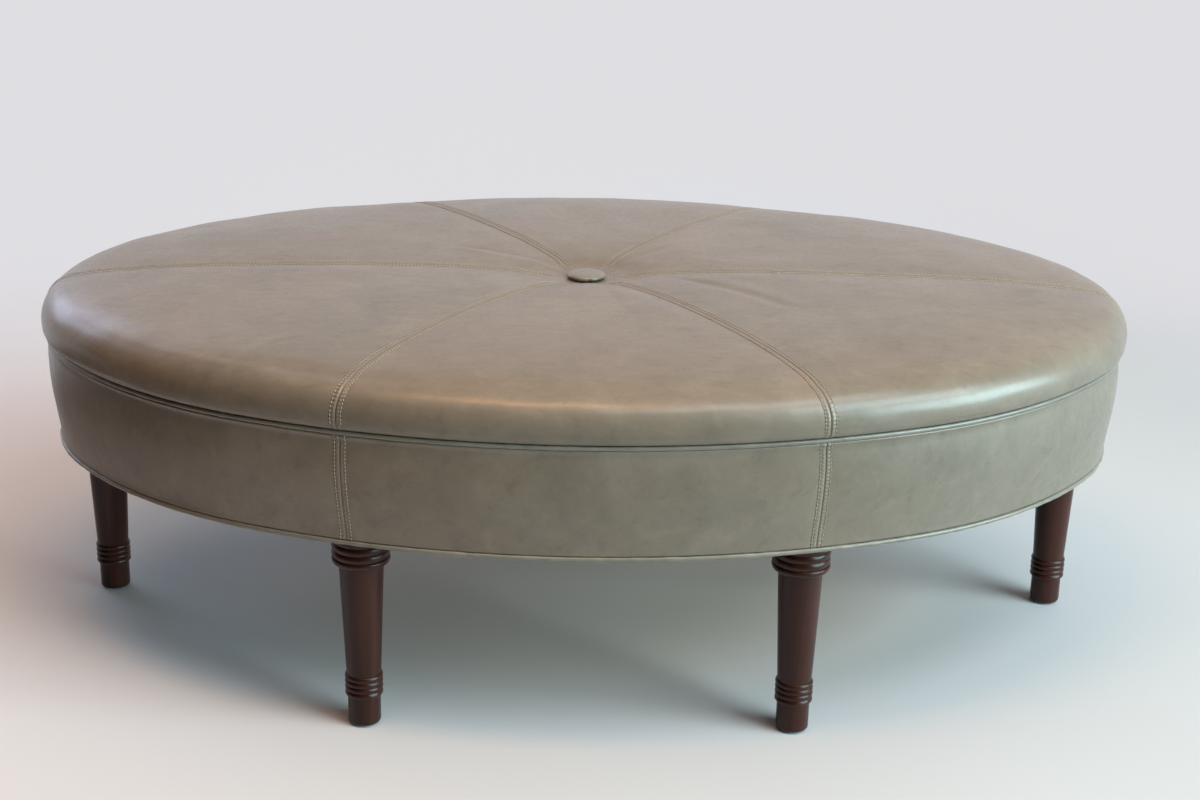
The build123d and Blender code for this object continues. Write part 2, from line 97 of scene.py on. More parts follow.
ARCS = oval_arcs()
DENSE = 4096
TURN = np.linspace(0, 2 * np.pi, DENSE, endpoint=False)
FOLD = np.arctan2(np.abs(np.sin(TURN)), np.abs(np.cos(TURN)))
WHICH = np.where(FOLD < END_SPAN, 0, np.where(FOLD < SIDE_SPAN, 1, 2))
CX = np.array([k[0] for k in ARCS])[WHICH] * np.sign(np.cos(TURN))
CY = np.array([k[1] for k in ARCS])[WHICH] * np.sign(np.sin(TURN))
RAD = np.array([k[2] for k in ARCS])[WHICH]


def oval(share, inset):
    """The outline scaled by share and drawn in by inset, as a closed row of points."""
    r = RAD * share - inset
    return CX * share + r * np.cos(TURN), CY * share + r * np.sin(TURN)


def outline_y(x):
    """How far out the outline is, across, at a place along it."""
    ox, oy = oval(1.0, 0.0)
    quarter = DENSE // 4
    return float(np.interp(-x, -ox[:quarter], oy[:quarter]))


SEAM_Y = outline_y(SEAM_X)
# Seams go round from the right end: right, back right, back left, left, front left, front right.
# The cover was pulled on a little askew, so its end seams come down nearer the front.
SEAM_ENDS = ((HALF_LENGTH, -13.0, -6.0), (SEAM_X, SEAM_Y, 0.0), (-SEAM_X, SEAM_Y, 0.0),
             (-HALF_LENGTH, -13.0, 0.0), (-SEAM_X, -SEAM_Y, -SEAM_BOW), (SEAM_X, -SEAM_Y, SEAM_BOW))
SEAMS = len(SEAM_ENDS)


def seam_bearing(k, rho):
    """The bearing of seam k at a distance rho from the centre."""
    x, y, bow = SEAM_ENDS[k]
    reach = math.hypot(x, y)
    s = np.linspace(0.001, 1, 200)
    h = 4 * bow * s * (1 - s)
    px, py = x * s - y / reach * h, y * s + x / reach * h
    bearing = np.unwrap(np.arctan2(py, px))
    return np.interp(rho, np.hypot(px, py), bearing)


def seam_marks(share, inset):
    """Arc length along a ring at which each seam crosses it, and the ring's own lengths."""
    x, y = oval(share, inset)
    steps = np.hypot(np.diff(x, append=x[:1]), np.diff(y, append=y[:1]))
    run = np.concatenate([[0.0], np.cumsum(steps)])
    bearing, rho = np.arctan2(y, x), np.hypot(x, y)
    marks = []
    for k in range(SEAMS):
        gap = wrapped(bearing - seam_bearing(k, rho))
        after = np.roll(gap, -1)
        at = np.where((gap <= 0) & (after > 0) & (after - gap < 0.5))[0][0]
        part = -gap[at] / (after[at] - gap[at])
        marks.append(run[at] + part * steps[at])
    return x, y, run, marks


# Distances from a seam of the columns beside it. In a panel narrower than NEAR_SHARE times the widest
# of them they move closer together.
NEAR = np.array([0.0, 0.45, 1.0, 1.8, 2.8, 4.2, 5.6, 7.0, 9.0, 12.0, 17.0])
NEAR_SHARE = 3.2
MIDDLE = 56          # columns in each panel away from its seams


def columns(marks, total):
    """Arc lengths of the grid's columns: close together beside each seam, even between them."""
    out = []
    for k in range(SEAMS):
        start = marks[k]
        length = (marks[(k + 1) % SEAMS] - start) % total
        tight = min(1.0, length / (NEAR[-1] * NEAR_SHARE))
        near = NEAR * tight
        mid = np.linspace(near[-1], length - near[-1], MIDDLE + 2)[1:-1]
        out.append(start + np.concatenate([near, mid, (length - near[1:])[::-1]]))
    return np.concatenate(out) % total


PANEL_COLUMNS = 2 * len(NEAR) - 1 + MIDDLE
SEAM_COLUMNS = [k * PANEL_COLUMNS for k in range(SEAMS)]
FAR_OFF = 60.0       # the distance from a seam that is given where none is near
# Numbers that give each piece its own part of the hide's pattern.
PAD_HIDE, BAND_HIDE, WELT_HIDE, BUTTON_HIDE = 0, 7, 20.0, 31.0


def grid(rings):
    """Points of a surface: one row for each (share, inset, z), one column for each place round it."""
    rows = []
    for share, inset, z in rings:
        x, y, run, marks = seam_marks(share, inset)
        at = columns(marks, run[-1])
        px = np.interp(at, run, np.append(x, x[0]))
        py = np.interp(at, run, np.append(y, y[0]))
        rows.append(np.column_stack([px, py, np.full(len(px), z)]))
    return np.array(rows)


def unit(vectors):
    """Vectors brought to length one."""
    return vectors / np.maximum(np.linalg.norm(vectors, axis=-1, keepdims=True), 1e-9)


def run_along(line):
    """Distance along a line of points, at each of them."""
    return np.concatenate([[0], np.cumsum(np.linalg.norm(np.diff(line, axis=0), axis=1))])


def wrapped(angle):
    """An angle brought between minus and plus half a turn."""
    return np.angle(np.exp(1j * angle))


def normals_of(points):
    """Outward normals of a closed grid whose rows climb from the skirt to the centre."""
    round_it = np.roll(points, -1, 1) - np.roll(points, 1, 1)
    up_it = np.gradient(points, axis=0)
    return unit(np.cross(round_it, up_it))


def smooth_path(points, step):
    """A smooth line through points, as rows about step apart measured in the section."""
    p = np.array(points, float)
    section = np.column_stack([p[:, 0] * HALF_LENGTH - p[:, 1], p[:, 2]])
    gaps = np.linalg.norm(np.diff(section, axis=0), axis=1)
    run = np.concatenate([[0], np.cumsum(np.sqrt(gaps))])
    slope = np.gradient(p, run, axis=0)
    out = []
    for i, gap in enumerate(gaps):
        count = max(1, int(round(gap / step(section[i]))))
        h = run[i + 1] - run[i]
        for t in np.arange(count) / count:
            out.append((2 * t**3 - 3 * t**2 + 1) * p[i] + (t**3 - 2 * t**2 + t) * h * slope[i]
                       + (3 * t**2 - 2 * t**3) * p[i + 1] + (t**3 - t**2) * h * slope[i + 1])
    out.append(p[-1])
    return np.array(out)


# ---------------------------------------------------------------- waves and noise in plain arrays

OCTAVES = 2
WAVES_EACH = 7


def waves(points, size, seed):
    """Soft noise between about -1 and 1 over points, from a sum of turned sine waves."""
    rng = np.random.default_rng(seed)
    total = np.zeros(points.shape[:-1])
    weight = 0.0
    for o in range(OCTAVES):
        for _ in range(WAVES_EACH):
            d = rng.normal(size=3)
            d /= np.linalg.norm(d)
            scale = size / 2**o * rng.uniform(0.7, 1.5)
            part = np.sin(points @ d * 2 * np.pi / scale + rng.uniform(0, 2 * np.pi))
            total += part / 2**o
        weight += WAVES_EACH / 4**o
    return total / math.sqrt(weight)


def falloff(d, width):
    """One at zero, down to nothing at width."""
    t = np.clip(1 - np.abs(d) / width, 0, 1)
    return t * t * (3 - 2 * t)


# ---------------------------------------------------------------- meshes

def make_object(name, verts, faces):
    """A smooth mesh object from points in millimetres."""
    mesh = bpy.data.meshes.new(name)
    mesh.from_pydata([tuple(v) for v in np.asarray(verts) * MM], [], faces)
    mesh.update()
    mesh.polygons.foreach_set("use_smooth", [True] * len(mesh.polygons))
    obj = bpy.data.objects.new(name, mesh)
    SCENE.collection.objects.link(obj)
    return obj


def grid_faces(rows, cols, start=0, closed=True):
    """Faces of a grid stored row by row."""
    faces = []
    last = cols if closed else cols - 1
    for j in range(rows - 1):
        a, b = start + j * cols, start + (j + 1) * cols
        for i in range(last):
            k = (i + 1) % cols
            faces.append((a + i, a + k, b + k, b + i))
    return faces


def add_layer(obj, name, values):
    """One number for each vertex, for the materials to read."""
    layer = obj.data.attributes.new(name, "FLOAT", "POINT")
    layer.data.foreach_set("value", np.asarray(values, dtype=np.float32).ravel())


def add_leather_layers(obj, off, along, panel):
    """What the leather reads: distance from the nearest seam, distance along it, and the panel."""
    for name, values in (("seam_off", off), ("seam_along", along), ("panel", panel)):
        add_layer(obj, name, values if np.ndim(values) else np.full(len(obj.data.vertices), values))


def make_cover(name, points, off, along, hide):
    """A cover of six panels, with its grid and the distances from its seams for the stitches."""
    rows, cols, _ = points.shape
    obj = make_object(name, points.reshape(-1, 3), grid_faces(rows, cols))
    add_leather_layers(obj, off, along, np.tile(np.arange(cols) // PANEL_COLUMNS + hide, rows))
    return obj, points, off


def seam_frame(points):
    """For each point of a grid: distance from the nearest seam, and distance along that seam."""
    rows, cols, _ = points.shape
    off = np.full((rows, cols), FAR_OFF)
    along = np.zeros((rows, cols))
    reach = len(NEAR) + MIDDLE // 2
    for c in SEAM_COLUMNS:
        line = points[:, c]
        tangent = unit(np.gradient(line, axis=0))
        run = run_along(line)
        for i in range(-reach, reach + 1):
            k = (c + i) % cols
            away = points[:, k] - line
            ahead = (away * tangent).sum(1)
            d = np.linalg.norm(away - ahead[:, None] * tangent, axis=1)
            closer = d < off[:, k]
            off[closer, k] = d[closer]
            along[closer, k] = (run + ahead)[closer]
    return off, along


def seam_profile(d):
    """How far the leather stands proud beside a seam: a groove, a doubled strip and its edge."""
    at = (0.0, 0.45, 1.0, 1.8, 2.8, 4.2, 5.6, 6.3, 7.0, 9.0, 12.0, 17.0)
    high = (-0.55, -0.24, 0.18, 0.46, 0.5, 0.32, 0.0, -0.15, -0.08, 0.05, 0.04, 0.0)
    return np.interp(d, at, high)


# ---------------------------------------------------------------- pad

# Rows of the pad's section as (share of the outline, inset, height): first the lip that turns in over the
# welt, then the shoulder's arc, then the crown and the hollow that the button is pulled down into.
PAD_LIP = [(1, 5.4, 378), (1, 5.1, 384.0), (1, 4.0, 386.3), (1, 1.4, 387.4), (1, -1.8, 388.8),
           (1, -4.3, 393.2), (1, -5.4, 399.1)]
SHOULDER_INSET, SHOULDER_Z, SHOULDER_R = 30.5, 404, 36
SHOULDER_DEGREES = (0, 13, 26, 40, 53, 66, 80)
PAD_CROWN = [(0.95, 11.6, 443.6), (0.90, 0, 446.4), (0.80, 0, 452.4), (0.65, 0, 457.4), (0.50, 0, 459.6),
             (0.37, 0, 460.0), (0.24, 0, 458.8), (0.13, 0, 454.4), (0.085, -12, 451.6), (0.04, -26.5, 448.9),
             (0.012, -27.2, 446.6), (0, -25.8, 444.8), (0, -22, 443.8), (0, -16, 443.5), (0, -10.2, 443.4)]


def pad_step(at):
    """How far apart the pad's rows are, at a place in its section."""
    out, z = at
    if z < 402:
        return 1.6
    if out > 640:
        return 4.0
    return 3.0 if out < 75 else 8.0


def pad_rows():
    """The pad's outer surface from the skirt behind the welt up to the seat of the button."""
    shoulder = [(1, SHOULDER_INSET - SHOULDER_R * math.cos(math.radians(g)),
                 SHOULDER_Z + SHOULDER_R * math.sin(math.radians(g))) for g in SHOULDER_DEGREES]
    return smooth_path(PAD_LIP + shoulder + PAD_CROWN, pad_step)


# Soft waves in the pad's cover: height, size, seed, and how the pattern is stretched along each axis.
PAD_WAVES = ((0.5, 260, 11, (1, 1, 0.4)), (0.22, 70, 12, (1, 1, 1)), (0.05, 26, 13, (1, 1, 1)))
PULLS = 26           # short dips that run out from the button


def pad_dips(points):
    """Soft shapes in the pad's cover away from the seams, up and down along its normal."""
    x, y = points[..., 0], points[..., 1]
    r = np.hypot(x, y)
    lift = sum(height * waves(points * squash, size, seed) for height, size, seed, squash in PAD_WAVES)
    lift *= np.clip(r / 120, 0, 1) * (points[..., 2] > PAD_WALL_Z)
    # Pulls that run out from the button, uneven in length and depth.
    rng = np.random.default_rng(5)
    bearing = np.arctan2(y, x)
    for _ in range(PULLS):
        at, wide = rng.uniform(0, 2 * np.pi), rng.uniform(0.05, 0.12)
        long, deep = rng.uniform(45, 150), rng.uniform(0.15, 0.6)
        gap = wrapped(bearing - at - 0.0006 * rng.uniform(-1, 1) * r)
        lift -= deep * np.exp(-(gap / wide) ** 2) * falloff(r - BUTTON_EDGE - 2, long) * (r > BUTTON_EDGE)
    return lift


# Long soft creases on the pad: start, end, depth, width and bend.
DRAGS = [
    ((112, -40), (262, -190), 1.3, 9.0, 6.0),
    ((95, -28), (178, -92), 0.6, 5.0, -3.0),
    ((-60, -46), (-150, -170), 0.5, 6.0, 4.0),
    ((36, 40), (150, 120), 0.7, 7.0, 3.0),
    ((20, -60), (60, -230), 0.6, 8.0, -5.0),
    ((-30, 34), (-190, 92), 0.6, 6.0, 3.0),
]
PAD_TOP_Z = 430.0    # creases lie on the top, above this height


def drag(points, start, end, depth, width, bend):
    """One soft long crease between two places on the pad, as a dip with a raised side."""
    a, b = np.array(start, float), np.array(end, float)
    reach = np.linalg.norm(b - a)
    u = (b - a) / reach
    n = np.array([-u[1], u[0]])
    p = points[..., :2] - a
    s = p @ u / reach
    off = p @ n - bend * 4 * np.clip(s, 0, 1) * (1 - np.clip(s, 0, 1))
    ends = np.clip(s * 5, 0, 1) * np.clip((1 - s) * 3.5, 0, 1)
    ends = ends * ends * (3 - 2 * ends)
    shape = -np.exp(-(off / width) ** 2) + 0.55 * np.exp(-((off - 1.9 * width) / (1.5 * width)) ** 2)
    return depth * ends * shape * (points[..., 2] > PAD_TOP_Z)


SIM_VOXEL = 0.009    # size of the simulated cover's faces, in metres
SIM_FRAMES = 20
SIM_EVENED = 5       # how many times the travel is evened out over neighbours
SIM_NEIGHBOURS = 14  # simulated points that each point of the fine cover follows
SIM_SHARE = 0.45     # how much of the simulated travel the tight cover keeps
SIM_CAP = 2.2        # the most that a point may travel outward
SIM_INWARD = -0.4    # the most simulated travel inward that is let through


def points_of(mesh):
    """A mesh's points, in metres, one row each."""
    out = np.empty(len(mesh.vertices) * 3)
    mesh.vertices.foreach_get("co", out)
    return out.reshape(-1, 3)


def cap_faces(rows, cols, bottom, top):
    """Triangles that close a grid at its first row round one point and at its last round another."""
    last = (rows - 1) * cols
    faces = []
    for i in range(cols):
        k = (i + 1) % cols
        faces += [(last + i, last + k, top), (k, i, bottom)]
    return faces


def simulate(points, hold):
    """Blows the cover up a little with Cloth and gives each point's travel."""
    rows, cols, _ = points.shape
    keep = sorted({*range(0, rows, 2), rows - 1})
    coarse = points[keep]
    verts = list(coarse.reshape(-1, 3))
    top, bottom = len(verts), len(verts) + 1
    verts += [np.array([0, 0, coarse[-1, 0, 2]]), np.array([0, 0, coarse[0, 0, 2]])]
    faces = grid_faces(len(keep), cols) + cap_faces(len(keep), cols, bottom, top)
    obj = make_object("pad_cloth", verts, faces)
    remesh = obj.modifiers.new("even", "REMESH")
    remesh.mode, remesh.voxel_size = "VOXEL", SIM_VOXEL
    bpy.context.view_layer.update()
    even = bpy.data.meshes.new_from_object(obj.evaluated_get(bpy.context.evaluated_depsgraph_get()))
    obj.modifiers.clear()
    obj.data = even
    before = points_of(even)
    held = obj.vertex_groups.new(name="held")
    weight = hold(before / MM)
    for i, w in enumerate(weight):
        if w > 0.001:
            held.add([i], float(w), "REPLACE")
    cloth = obj.modifiers.new("cover", "CLOTH")
    s = cloth.settings
    s.quality, s.mass, s.air_damping = 6, 0.35, 2.0
    s.tension_stiffness = s.compression_stiffness = 18
    s.shear_stiffness, s.bending_stiffness = 8, 0.9
    s.use_pressure, s.uniform_pressure_force = True, 4.0
    s.shrink_min = -0.004
    s.vertex_group_mass, s.pin_stiffness = "held", 1.0
    s.effector_weights.gravity = 0
    cloth.collision_settings.use_collision = False
    cloth.collision_settings.use_self_collision = False
    for f in range(1, SIM_FRAMES + 1):
        SCENE.frame_set(f)
    after = points_of(obj.evaluated_get(bpy.context.evaluated_depsgraph_get()).to_mesh())
    SCENE.frame_set(1)
    # The leather is stiffer than the cloth: its travel is evened out over a few neighbours.
    travel = (after - before) / MM
    edges = np.empty(len(even.edges) * 2, dtype=np.int32)
    even.edges.foreach_get("vertices", edges)
    edges = edges.reshape(-1, 2)
    count = np.bincount(edges.ravel(), minlength=len(before))[:, None] + 1.0
    for _ in range(SIM_EVENED):
        total = travel.copy()
        np.add.at(total, edges[:, 0], travel[edges[:, 1]])
        np.add.at(total, edges[:, 1], travel[edges[:, 0]])
        travel = total / count
    # Each point of the fine cover takes the travel of the simulated points round it.
    tree = KDTree(len(before))
    for i, v in enumerate(before):
        tree.insert(v, i)
    tree.balance()
    out = np.zeros((rows, cols, 3))
    for j in range(rows):
        for i in range(cols):
            found = tree.find_n(points[j, i] * MM, SIM_NEIGHBOURS)
            ids = [f[1] for f in found]
            d = np.array([f[2] for f in found])
            w = np.maximum(1 - (d / (d[-1] + 1e-6)) ** 2, 0) ** 2 + 1e-9
            out[j, i] = (travel[ids] * w[:, None]).sum(0) / w.sum()
    bpy.data.objects.remove(obj, do_unlink=True)
    return out


# Where the simulated cover is held: below a height, near the button, and partly in a strip along each
# seam above a height.
HOLD_SKIRT_Z, HOLD_BUTTON, HOLD_SEAM, HOLD_SEAM_WIDTH, HOLD_SEAM_Z = 393, 28, 0.75, 16, 400


def hold_pad(p):
    """Where the cover is held while it is blown up: at the skirt, the button and along the seams."""
    r = np.hypot(p[:, 0], p[:, 1])
    weight = ((p[:, 2] < HOLD_SKIRT_Z) | (r < HOLD_BUTTON)) * 1.0
    for k in range(SEAMS):
        bearing = np.arctan2(p[:, 1], p[:, 0])
        gap = wrapped(bearing - seam_bearing(k, r)) * r
        weight = np.maximum(weight, HOLD_SEAM * falloff(gap, HOLD_SEAM_WIDTH) * (p[:, 2] > HOLD_SEAM_Z))
    return weight


# Beside the pad's seams: width of the valley they lie in, its depth, and how much deeper it gets within
# a distance from the button.
VALLEY_WIDTH, VALLEY, VALLEY_DEEPER, VALLEY_NEAR = 44, 0.45, 1.2, 140


def build_pad():
    """The pad's cover: simulated, then dipped and creased, then drawn in along its seams."""
    base = grid(pad_rows())
    normal = normals_of(base)
    travel = np.zeros(base.shape)
    travel = simulate(base, hold_pad)
    outward = (travel * normal).sum(2, keepdims=True)
    travel = SIM_CAP * np.tanh(SIM_SHARE * np.maximum(outward, SIM_INWARD) / SIM_CAP) * normal
    shape = base + travel
    lift = pad_dips(base)
    for start, end, depth, width, bend in DRAGS:
        lift += drag(base, start, end, depth, width, bend)
    off, along = seam_frame(base)
    rho = np.hypot(base[..., 0], base[..., 1])
    # Beside the seams the cover is flatter, and is drawn down a little between its stitches.
    lift *= np.clip(off / 30, 0.15, 1)
    valley = VALLEY + VALLEY_DEEPER * np.exp(-(rho / VALLEY_NEAR) ** 2)
    clear = np.clip((rho - BUTTON_EDGE - 2) / 40, 0, 1)
    lift -= valley * falloff(off, VALLEY_WIDTH) * (base[..., 2] > PAD_WALL_Z) * clear
    fade = np.clip((rho - BUTTON_EDGE) / 45, 0.0, 1) * np.clip((base[..., 2] - 379) / 14, 0.35, 1)
    lift += seam_profile(off) * fade
    shape = shape + normals_of(shape) * lift[..., None]
    return make_cover("pad_cover", shape, off, along, PAD_HIDE)


# ---------------------------------------------------------------- band

def side_inset(z):
    """How far the band's side is drawn in at a height, by its taper."""
    return BAND_TAPER * (WELT_Z - z) / BAND_HEIGHT


# The band's section: its turned top edge and its turned lower edge as (inset from the side, height),
# the straight part between them, and the hem under the frame.
BAND_TURN = [(3.9, 375.5), (3.7, 378.6), (3.0, 380.6), (1.9, 381.3), (0.8, 381.2), (0.1, 380.5),
             (-0.1, 379.5), (0.15, 378.5), (0.55, 377.6), (0.75, 376.2)]
SIDE_TOP, SIDE_BOTTOM, SIDE_ROWS, SIDE_SEAT = 373.5, 256.5, 24, 0.75
LOWER_TURN = [(254.6, 0.55, 254.9), (253.8, 0.9, 253.6), (253, 1.7, 252.8), (253, 3.0, 252.5)]
HEM = [(14.5, 252.4), (HEM_INSET, 252.5)]
HEM_Z = 252.4
# Between these heights the band's face is uneven, and fades to even over the given distance.
FACE_BOTTOM, FACE_TOP, FACE_FADE = 254, 378, 8


def band_rows():
    """The band's leather: turned over at the top, down the side, and turned in under the frame."""
    rows = [(1, side_inset(z) + d, z) for d, z in BAND_TURN]
    for z in np.linspace(SIDE_TOP, SIDE_BOTTOM, SIDE_ROWS):
        share = (z - SIDE_BOTTOM) / (SIDE_TOP - SIDE_BOTTOM)
        bulge = BAND_BULGE * math.sin(math.pi * share ** 1.4) ** 0.8
        rows.append((1, side_inset(z) + SIDE_SEAT - bulge, z))
    rows += [(1, side_inset(at) + d, z) for at, d, z in LOWER_TURN]
    rows += [(1, inset, z) for inset, z in HEM]
    return np.array(rows)


def build_band():
    """The band's cover: faintly uneven between its edges and drawn in along its seams."""
    base = grid(band_rows()[::-1])
    normal = normals_of(base)
    off, along = seam_frame(base)
    z = base[..., 2]
    face = np.clip((z - FACE_BOTTOM) / FACE_FADE, 0, 1) * np.clip((FACE_TOP - z) / FACE_FADE, 0, 1)
    lift = (0.5 * waves(base * (1, 1, 0.5), 190, 31) + 0.2 * waves(base, 55, 32)) * face
    lift -= 0.55 * falloff(off, 26) * face
    lift += seam_profile(off) * np.clip((z - HEM_Z) / 3, 0.1, 0.85)
    shape = base + normal * lift[..., None]
    return make_cover("band_cover", shape, off, along, BAND_HIDE)


# ---------------------------------------------------------------- stitches

def place_row(points, off, column, direction, distance):
    """A line on a grid's surface at a distance from a seam, with the surface's normals."""
    normal = normals_of(points)
    rows, cols, _ = points.shape
    line, up = [], []
    for j in range(rows):
        ids = [(column + direction * i) % cols for i in range(len(NEAR))]
        d = off[j, ids]
        if d[-1] < distance:
            continue
        w = np.interp(distance, d, np.arange(len(ids)))
        i, part = int(w), w - int(w)
        k = min(i + 1, len(ids) - 1)
        line.append(points[j, ids[i]] * (1 - part) + points[j, ids[k]] * part)
        up.append(normal[j, ids[i]])
    return np.array(line), np.array(up)


def row_at(rows, run, at):
    """The place or direction at a distance along a line."""
    return np.array([np.interp(at, run, rows[:, k]) for k in range(3)])


# A stitch from one end to the other: share of its length, thread radius and height over the leather.
STITCH_LENGTH = 4.0
STITCH = ((-0.5, 0.30, -0.55), (-0.42, 0.42, -0.05), (-0.2, 0.50, 0.26), (0.0, 0.52, 0.34),
          (0.2, 0.50, 0.26), (0.42, 0.42, -0.05), (0.5, 0.30, -0.55))
STITCH_SIDES = 6


def build_stitches(name, rows_of, seed, first, last):
    """Each stitch is a short thread that comes up out of the leather and goes back in."""
    rng = np.random.default_rng(seed)
    verts, faces, sunk = [], [], []
    for line, up in rows_of:
        run = run_along(line)
        count = int((run[-1] - first - last) / STITCH_PITCH)
        for n in range(count):
            mid = first + (n + 0.5) * STITCH_PITCH + rng.uniform(-0.15, 0.15)
            here, ahead, back = (row_at(line, run, mid + d) for d in (0, 1.5, -1.5))
            n_up = row_at(up, run, mid)
            n_up /= np.linalg.norm(n_up)
            t = ahead - back
            t -= (t @ n_up) * n_up
            t /= np.linalg.norm(t)
            b = np.cross(n_up, t)
            slant = rng.normal(0, 0.05)
            t = t * math.cos(slant) + b * math.sin(slant)
            b = np.cross(n_up, t)
            start = len(verts)
            for s, r, h in STITCH:
                centre = here + t * s * STITCH_LENGTH + n_up * h
                sunk += [abs(2 * s) ** 2] * STITCH_SIDES
                for q in range(STITCH_SIDES):
                    a = 2 * math.pi * q / STITCH_SIDES
                    verts.append(centre + (b * math.cos(a) + n_up * math.sin(a)) * r)
            faces += grid_faces(len(STITCH), STITCH_SIDES, start)
    obj = make_object(name, np.array(verts), faces)
    # Sunk says how near each ring is to a stitch's end; the thread's material paints shade there.
    add_layer(obj, "sunk", sunk)
    return obj


# ---------------------------------------------------------------- welts

WELT_STEPS = 1440    # places round a welt
WELT_WAVES = 26      # waves of unevenness along it
WELT_UNEVEN = 0.022


def build_welt(name, inset, z, radius, flange, seed):
    """A leather-covered cord with its sewn flange behind, slightly uneven along its length."""
    x, y = oval(1.0, inset)
    pick = np.linspace(0, DENSE, WELT_STEPS, endpoint=False).astype(int)
    nx, ny = np.cos(TURN[pick]), np.sin(TURN[pick])
    cx, cy = x[pick], y[pick]
    run = np.concatenate([[0], np.cumsum(np.hypot(np.diff(cx), np.diff(cy)))])
    rng = np.random.default_rng(seed)
    uneven = np.zeros(WELT_STEPS)
    for m in rng.integers(9, 190, WELT_WAVES):
        uneven += np.sin(2 * np.pi * run / run[-1] * m + rng.uniform(0, 6.3)) * WELT_UNEVEN
    # Round the cord from one edge of the flange to the other, as places out from the line and up.
    section = [flange[0]]
    r = radius * (1 + uneven * 0.6)
    for a in np.radians(np.linspace(-205, 150, 19))[::-1]:
        section.append((r * math.cos(a) + uneven * 0.15, r * math.sin(a) + uneven * 0.2))
    section.append(flange[1])
    level = np.full(WELT_STEPS, z)
    points = np.array([np.column_stack([cx + nx * out, cy + ny * out, level + high])
                       for out, high in section])
    obj = make_object(name, points.reshape(-1, 3), grid_faces(len(points), WELT_STEPS))
    bm = bmesh.new()
    bm.from_mesh(obj.data)
    bmesh.ops.recalc_face_normals(bm, faces=bm.faces)
    bm.to_mesh(obj.data)
    bm.free()
    add_leather_layers(obj, FAR_OFF, np.tile(run, len(points)), WELT_HIDE + seed)
    return obj


# ---------------------------------------------------------------- button

# The button's section from under its rim to the middle of its dome: distance out and height.
BUTTON_SECTION = [(8.0, -0.6), (14.0, -0.8), (19.0, -0.7), (22.0, -0.1), (23.7, 0.9), (24.6, 2.1),
                  (24.9, 3.3), (24.6, 4.4), (23.6, 5.3), (21.6, 6.0), (18.6, 6.6), (14.7, 7.1),
                  (10.0, 7.5), (5.0, 7.75), (1.6, BUTTON_RISE)]
BUTTON_COLUMNS = 144
BUTTON_FOLDS = 22    # small folds under the rim


def build_button():
    """A covered button: a low dome whose leather turns under its rim in small uneven folds."""
    rows = []
    rng = np.random.default_rng(9)
    folds = [(rng.uniform(0, 2 * np.pi), rng.uniform(0.05, 0.1), rng.uniform(0.25, 0.7))
             for _ in range(BUTTON_FOLDS)]
    a = np.linspace(0, 2 * np.pi, BUTTON_COLUMNS, endpoint=False)
    for r, h in BUTTON_SECTION:
        under = np.clip((4.6 - h) / 4.0, 0, 1) * (r > 10)
        dent = np.zeros(BUTTON_COLUMNS)
        for at, wide, deep in folds:
            dent += deep * np.exp(-(wrapped(a - at) / wide) ** 2)
        rr = r - dent * under * 0.8
        height = np.full(BUTTON_COLUMNS, BUTTON_SEAT + h)
        rows.append(np.column_stack([rr * np.cos(a), rr * np.sin(a), height]))
    verts = list(np.array(rows).reshape(-1, 3)) + [np.array([0, 0, BUTTON_SEAT + BUTTON_RISE])]
    faces = grid_faces(len(rows), BUTTON_COLUMNS)
    last = (len(rows) - 1) * BUTTON_COLUMNS
    faces += [(last + i, last + (i + 1) % BUTTON_COLUMNS, len(verts) - 1) for i in range(BUTTON_COLUMNS)]
    obj = make_object("button_leather", verts, faces)
    add_leather_layers(obj, FAR_OFF, 0.0, BUTTON_HIDE)
    return obj


# ---------------------------------------------------------------- dust cloth

CLOTH_STEP = 14.0    # distance between the cloth's points
CLOTH_EDGE = 5.0     # how far they keep from its edges
CLOTH_SAG = 2.2


def from_legs(points):
    """Each point's distance from the middle of the nearest leg."""
    return np.min([np.hypot(points[:, 0] - lx, points[:, 1] - ly) for lx, ly in LEG_PLACES], axis=0)


